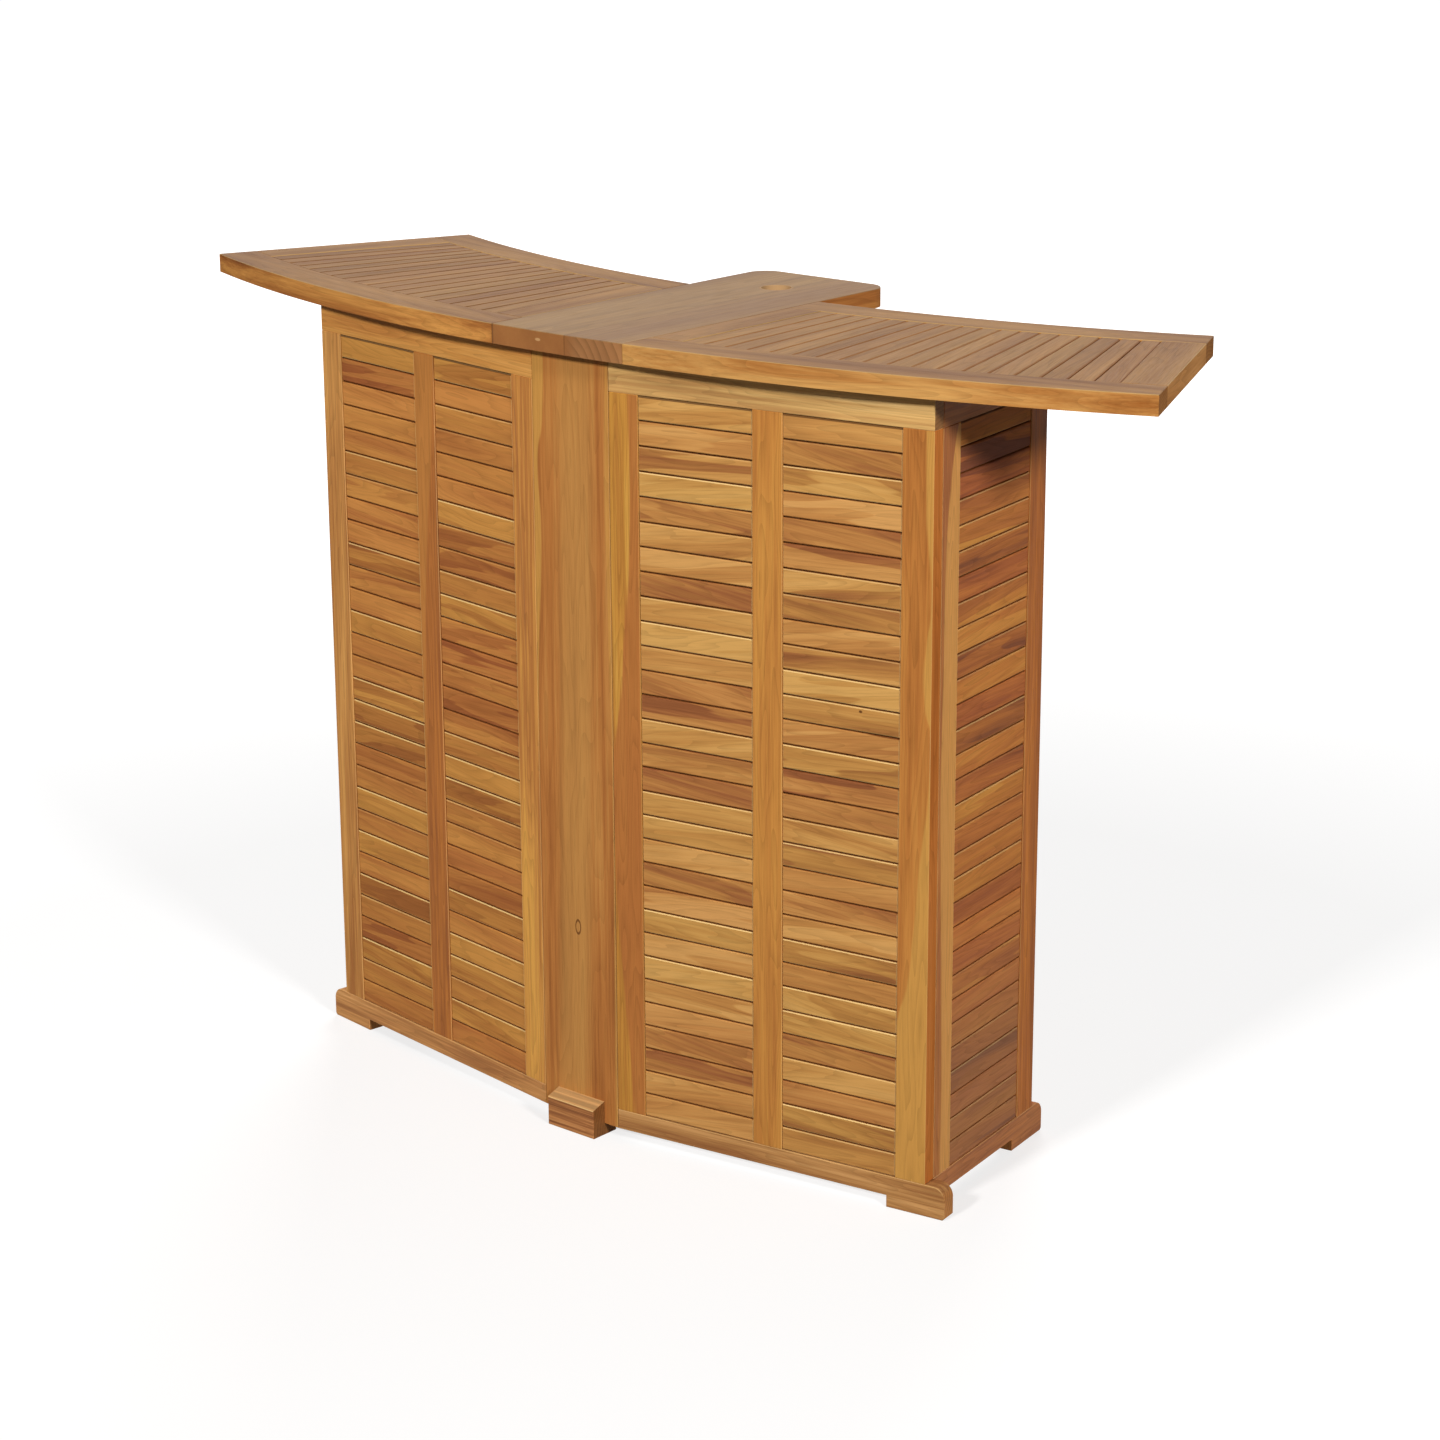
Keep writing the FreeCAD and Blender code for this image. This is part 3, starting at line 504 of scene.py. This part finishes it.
# Stiles: one long board each, with the stripes that its own log gave it
stileGrain = {"axes": "zuv", "toneFigure": 0.44, "toneStreak": 0.42, "figure": 30.0, "rings": 4.0,
              "wave": 4.0, "faceOnly": True}
goldTones = ramp("#D09D4B", "#C2893C", "#B07635")
orangeTones = ramp("#CA8C4C", "#BA7A40", "#A66834")
redTones = ramp("#CA8448", "#B87543", "#A4673F")
brownTones = ramp("#C8945C", "#B07D49", "#925F37")
stiles = {
    "right_panel_inner_stile": {
        "seed": 11, "low": 28.7, "tones": goldTones, "stripes": [
            {"tone": "#AB6836", "soft": 2.2, "cover": 0.85, "from": [
                (50, 25), (190, 14), (300, 5), (520, 1), (600, 12), (735, 23.5), (800, 27.5), (990, 28)]}]},
    "right_panel_middle_stile": {"seed": 12, "tones": ramp("#C88C43", "#BE803D", "#B07237")},
    "right_panel_outer_stile": {
        # Painted light: this stile's sides take brighter, more orange tones than its face
        "seed": 13, "low": 437.7, "tones": ramp("#D68240", "#CC7937", "#BC6C30"),
        "faceShadingTones": ramp("#BF803E", "#B47337", "#A46530"), "stripes": [
            {"tone": "#C8944A", "soft": 2.0, "cover": 0.8, "from": [
                (30, -6), (240, 0), (300, 14.5), (400, 25), (470, 31), (530, 39), (615, 43), (645, 34.5),
                (690, 31), (725, 34), (765, 40.5), (880, 34), (990, 31)]}]},
    "left_panel_inner_stile": {
        "seed": 14, "low": 28.7, "tones": ramp("#E3A650", "#D49349", "#BA783D"), "stripes": [
            {"tone": "#9E673E", "soft": 1.0, "cover": 0.7,
             "from": [(500, 20), (750, 26), (990, 38)], "to": [(500, 19), (750, 27.5), (990, 39)]}]},
    "left_panel_middle_stile": {
        "seed": 15, "low": 233.2, "tones": ramp("#C37A3A", "#B16C35", "#985A2F"), "stripes": [
            {"tone": "#C38240", "soft": 3.0, "cover": 0.75, "from": [
                (30, 41), (480, 36), (700, 27), (850, 10), (990, 0)]}]},
    "left_panel_outer_stile": {"seed": 16, "tones": ramp("#DDA058", "#C78A4A", "#AD6F3A")},
    "right_wing_front_stile": {
        "seed": 17, "low": -221.3, "tones": ramp("#D08847", "#C07940", "#AB673B"), "stripes": [
            {"tone": "#E8A659", "soft": 2.0, "cover": 0.85, "from": [
                (60, 16), (180, 16.3), (314, 12.4), (511, 5.5), (710, 8), (832, 10.7), (927, 22),
                (990, 40)]}]},
    "right_wing_rear_stile": {"seed": 18, "tones": ramp("#D2813B", "#BB6E34", "#A35E2F")},
    "left_wing_front_stile": {"seed": 19, "tones": orangeTones},
    "left_wing_rear_stile": {"seed": 20, "tones": goldTones},
}
for nodeName, look in stiles.items():
    dressTeak(nodeName, stileGrain, look, {"turn": frontTurns[frontOf(nodeName)]})

# Rails over and under the slats, the lower ones with their feet
railGrain = {"axes": "uzv", "toneFigure": 0.42, "toneStreak": 0.42, "figure": 26.0, "rings": 4.0}
rails = {
    # Painted light: the right top rail is paler than the other rails, to make up for the leaf's shadow on it
    "right_panel_top_rail": {"seed": 21, "tones": ramp("#EBC17E", "#DBAE6B", "#C19157")},
    "right_panel_bottom_rail": {"seed": 22, "tones": brownTones, "endTone": "#C98548"},
    "left_panel_top_rail": {"seed": 23, "tones": ramp("#E3A559", "#D6964C", "#C1803F")},
    "left_panel_bottom_rail": {"seed": 24, "tones": ramp("#E9AE6F", "#D19458", "#AE7444")},
    "right_wing_top_rail": {"seed": 25, "tones": redTones},
    "right_wing_bottom_rail": {"seed": 26, "tones": ramp("#D1884E", "#BD7848", "#A86841")},
    "left_wing_top_rail": {"seed": 27, "tones": orangeTones},
    "left_wing_bottom_rail": {"seed": 28, "tones": brownTones},
}
for nodeName, look in rails.items():
    dressTeak(nodeName, railGrain, look, {"turn": frontTurns[frontOf(nodeName)]})
print("frames dressed")

# Counter leaves: sawn curved rails keep the straight grain of their boards, along the chord of the curve.
# The top is rubbed smoother and shines more
# Painted shade: the leaves' tops take darker tones than their edges, since the lamps light tops more
shadedTopTones = ramp("#AB7E4C", "#996E42", "#825834")
endTones = ramp("#CE9459", "#BA8048", "#9E6736")
edgeTones = {"right": ramp("#CC9856", "#B47A3F", "#985C2A"), "left": ramp("#DA9A50", "#B27239", "#7F4826")}
# Painted shade between the leaf slats, lighter on the right leaf
gapShadeTones = {"right": "#96623A", "left": "#5E3619"}
rubbedTop = {"rough": 0.5, "gloss": 0.18, "rings": 4.0}
leafGrain = {"axes": "uvz", "toneFigure": 0.5, "toneStreak": 0.2, "figure": 34.0, "bevelHighlightCover": 0.3,
             "faceShadingTones": shadedTopTones}
leafSlats = {"axes": "vuz", "fanned": True, "pitch": leafFan["pitch"], "first": 0.0, "lean": 0.06, "seed": 39,
             "toneBase": 0.28, "toneLuck": 0.38, "toneFigure": 0.26, "toneStreak": 0.26, "tonePatch": 0.25,
             "patch": 30.0, "hue": 0.003, "tones": shadedTopTones, "bevelHighlightCover": 0.0, "gapShadeCover": 0.9,
             "gapFront": 0.82}
chord = 12.3
leafRails = {
    "front_rail": {"turn": chord, "seed": 31},
    "rear_rail": {"turn": chord, "seed": 33},
    "inner_rail": {"turn": 90, "seed": 35, "tones": shadedTopTones},
    "end_rail": {"turn": 90 + leafFan["endSlant"], "seed": 37, "tones": endTones},
}
for count, side in enumerate(("right", "left")):
    for boardName, look in leafRails.items():
        own = {"seed": look["seed"] + count, "turn": look["turn"] if side == "right" else 180 - look["turn"]}
        dressTeak(f"{side}_leaf_{boardName}", rubbedTop, leafGrain, {"tones": edgeTones[side]}, look, own)
    own = {"seed": leafSlats["seed"] + count, "gapShadeTone": gapShadeTones[side]}
    dressTeak(f"{side}_leaf_slats", rubbedTop, leafSlats, own)

# Plank of two glued boards; the glue line shows right of the middle, and a dark line runs along the left edge
plank = {
    "axes": "vuz", "seed": 41, "pitch": 124.0, "first": -108.0, "low": -108.0, "lean": 0.04, "wave": 0.0,
    "toneBase": 0.35, "toneLuck": 0.3, "toneFigure": 0.26, "toneStreak": 0.2, "tonePatch": 0.2, "hue": 0.002,
    "rough": 0.5, "gloss": 0.34, "figure": 60.0, "rings": 5.0, "patch": 60.0, "streak": 9.0,
    # Painted shade: the plank's top takes darker tones than its sides
    "tones": edgeTones["left"], "faceShadingTones": ramp("#A88151", "#967147", "#805A3A"),
    "endTone": "#8E5C34", "ringedTone": "#9B6C44",
    "pith": (-25, 985, 0), "ringWidth": 11.0, "ringedFrom": 16.0,
    "hole": {"at": (0, 160.5, 0), "half": 20.6, "tone": "#B59268", "cover": 0.9,
             "rim": 2.0, "rimTone": "#A3743C", "rimCover": 0.7, "soft": 0.5},
    "knots": [{"at": (-28, 1039.5), "long": 4.4, "wide": 1.9, "tone": "#C99C68", "onEnd": True}],
    "stripes": [{"from": [(0, 123.5), (1000, 123.5)], "to": [(0, 124.5), (1000, 124.5)],
                 "soft": 0.4, "cover": 0.8, "tone": "#5E3B22"},
                {"to": [(0, 2.2), (1000, 2.2)], "soft": 0.5, "cover": 0.4, "tone": "#4E3120"}],
}
dressTeak("plank", plank)

# Centre post with sapwood down its middle and both edges, and what stands behind it
post = {
    "axes": "zuv", "seed": 51, "low": -63.4, "wave": 4.0, "faceOnly": True,
    "toneFigure": 0.3, "toneStreak": 0.4, "tones": ramp("#C28747", "#B37239", "#965A2D"),
    "figure": 42.0, "rings": 4.0, "ringDepth": 0.12, "streak": 9.0,
    "stripes": [{"from": [(170, 29), (500, 38), (1000, 45)], "to": [(170, 82), (500, 92), (1000, 99)],
                 "soft": 12.0, "cover": 0.6, "tone": "#BF8B4B"},
                {"to": [(500, 0), (605, 2.7), (660, 5.6), (802, 11.2), (882, 7.3), (932, 16), (1012, 19)],
                 "soft": 1.8, "cover": 0.8, "tone": "#CB954A"},
                {"from": [(172, 124.9), (504, 125.8), (609, 123.3), (784, 119.7), (888, 118.5), (1014, 121)],
                 "soft": 1.8, "cover": 0.6, "tone": "#CB954A"}],
    "knots": [{"at": (277, -0.7), "long": 9.0, "wide": 4.2, "tone": "#5E3518", "shape": "outline"}],
}
dressTeak("centre_post", post)
behind = {"axes": "zuv", "toneFigure": 0.3, "toneStreak": 0.2, "tones": brownTones}
dressTeak("post_spine", behind, {"seed": 52})
dressTeak("plank_brace", behind, {"seed": 53})
foot = {"axes": "uzv", "seed": 54, "bevelHighlightCover": 0.7, "toneFigure": 0.5, "toneStreak": 0.6,
        "tones": ramp("#DA9E64", "#B87A48", "#865332")}
dressTeak("centre_foot", foot)
print("counter and centre dressed")

# Solid drawn brass, brushed along the plates and dulled in the air: warm yellow with a broad highlight
brass = {"tones": ramp("#B08D4A", "#C9A65A", "#D8B86C", spots=(0.0, 0.6, 1.0)),
         "brush": 0.5, "brushStretch": 0.03, "brushDetail": 2, "blotch": 9.0, "blotchDetail": 3,
         "rough": {1: 0.3, 2: 0.7, 3: 0.24, 4: 0.44}, "relief": 0.1, "depth": 0.2}
material, tree = newTree("drawnBrass_hinges")
place = addNode(tree, "TexCoord")
stretched = addNode(tree, "VectorMath", operation="MULTIPLY", values={1: (1, 1, brass["brushStretch"])},
                    links={0: place.outputs["Object"]})
brush = addNode(tree, "TexNoise", values={"Scale": metre / brass["brush"], "Detail": brass["brushDetail"]},
                links={0: stretched})
blotch = addNode(tree, "TexNoise", values={"Scale": metre / brass["blotch"], "Detail": brass["blotchDetail"]},
                 links={0: place.outputs["Object"]})
tarnish = addNode(tree, "ValToRGB", stops=brass["tones"], links={0: blotch})
rough = addNode(tree, "MapRange", values=brass["rough"], links={0: blotch})
bump = addNode(tree, "Bump", values={"Strength": brass["relief"], "Distance": brass["depth"] / metre},
               links={"Height": brush})
shader = addNode(tree, "BsdfPrincipled", values={"Metallic": 1.0},
                 links={"Base Color": tarnish, "Roughness": rough, "Normal": bump})
addNode(tree, "OutputMaterial", links={0: shader})
for nodeName in nodes:
    if nodeName.endswith(("_plates", "_pins", "_screws")):
        dress(nodeName, material)
print("hinges dressed")


def plainlySeen(tree):
    # 1 for rays from the camera, straight or by way of something shiny or clear, and 0 for stray light
    ray = addNode(tree, "LightPath")
    seen = ray.outputs["Is Camera Ray"]
    for way in ("Is Glossy Ray", "Is Transmission Ray"):
        seen = addNode(tree, "Math", operation="MAXIMUM", links={0: seen, 1: ray.outputs[way]})
    return seen


# Painted floor, pale: it reads as white to the camera and still takes a soft shadow. Lengths are in metres
floorLook = {"size": 80.0, "bounce": "#6A6968", "shadowed": "#A09F9E", "nearGlow": 0.68, "farGlow": 1.0,
             "near": 1.2, "far": 4.0}
half = floorLook["size"] / 2
corners = [(-half, -half, 0), (half, -half, 0), (half, half, 0), (-half, half, 0)]
floorMesh = bpy.data.meshes.new("floor")
floorMesh.from_pydata(corners, [], [(0, 1, 2, 3)])
floor = bpy.data.objects.new("floor", floorMesh)
scene.collection.objects.link(floor)
material, tree = newTree("paintedFloor")
bounce = addNode(tree, "BsdfDiffuse", values={"Color": linear(floorLook["bounce"])})
shadowed = addNode(tree, "BsdfDiffuse", values={"Color": linear(floorLook["shadowed"])})
place = addNode(tree, "TexCoord")
away = addNode(tree, "VectorMath", operation="LENGTH", links={0: place.outputs["Object"]})
limits = {count: floorLook[key] for count, key in enumerate(("near", "far", "nearGlow", "farGlow"), start=1)}
fade = addNode(tree, "MapRange", values=limits, links={0: away})
glow = addNode(tree, "Emission", links={"Strength": fade})
shown = addNode(tree, "AddShader", links={0: shadowed, 1: glow})
mixed = addNode(tree, "MixShader", links={0: plainlySeen(tree), 1: bounce, 2: shown})
addNode(tree, "OutputMaterial", links={0: mixed})
floorMesh.materials.append(material)

# White surroundings, a soft lamp straight ahead, one on the right, and a wide fill behind. The sheen comes
# from the surroundings: seen from across, the lamps would burn a white patch into the counter
light = {"sky": 0.06, "seenSky": 1.0, "aim": (0, -0.1, 0.6)}
lamps = {
    "softboxRight": {"watts": 302.0, "size": 1.0, "azimuth": 72.0, "elevation": 25.5, "distance": 7.0},
    "softboxFront": {"watts": 594.0, "size": 0.9, "azimuth": 4.0, "elevation": 28.0, "distance": 9.0},
    "softboxBehind": {"watts": 524.0, "size": 4.0, "azimuth": 212.0, "elevation": 25.0, "distance": 9.0},
}
world = bpy.data.worlds.new("studio")
world.use_nodes = True
tree = world.node_tree
tree.nodes.clear()
strength = addNode(tree, "MapRange", values={3: light["sky"], 4: light["seenSky"]},
                   links={0: plainlySeen(tree)})
sky = addNode(tree, "Background", values={"Color": linear("#FFFFFF")}, links={"Strength": strength})
addNode(tree, "OutputWorld", links={0: sky})
scene.world = world
for lampName, look in lamps.items():
    azimuth, elevation = math.radians(look["azimuth"]), math.radians(look["elevation"])
    flat = math.cos(elevation)
    towards = Vector((math.sin(azimuth) * flat, -math.cos(azimuth) * flat, math.sin(elevation)))
    lampData = bpy.data.lights.new(lampName, "AREA")
    lampData.energy = look["watts"]
    lampData.size = look["size"]
    lamp = bpy.data.objects.new(lampName, lampData)
    lamp.location = Vector(light["aim"]) + towards * look["distance"]
    lamp.rotation_euler = towards.to_track_quat("Z", "Y").to_euler()
    lamp.visible_glossy = False
    scene.collection.objects.link(lamp)
print("floor and light ready")

# Camera fitted to the photograph's corners and seams
eye = {"place": (2.883788, -3.325131, 1.823616), "yaw": 40.564, "pitch": 16.747, "roll": -0.266,
       "lens": 87.467, "sensor": 36.0, "clipEnd": 200.0}
yaw, pitch, roll = (math.radians(eye[key]) for key in ("yaw", "pitch", "roll"))
ahead = Vector((-math.sin(yaw) * math.cos(pitch), math.cos(yaw) * math.cos(pitch), -math.sin(pitch)))
level = Vector((math.cos(yaw), math.sin(yaw), 0))
upright = level.cross(ahead)
right = level * math.cos(roll) + upright * math.sin(roll)
up = upright * math.cos(roll) - level * math.sin(roll)
cameraData = bpy.data.cameras.new("camera")
cameraData.lens = eye["lens"]
cameraData.sensor_width = eye["sensor"]
cameraData.clip_end = eye["clipEnd"]
camera = bpy.data.objects.new("camera", cameraData)
camera.matrix_world = Matrix((right, up, -ahead)).transposed().to_4x4()
camera.location = eye["place"]
scene.collection.objects.link(camera)
scene.camera = camera
scene.view_settings.view_transform = "Standard"

print("scene ready")
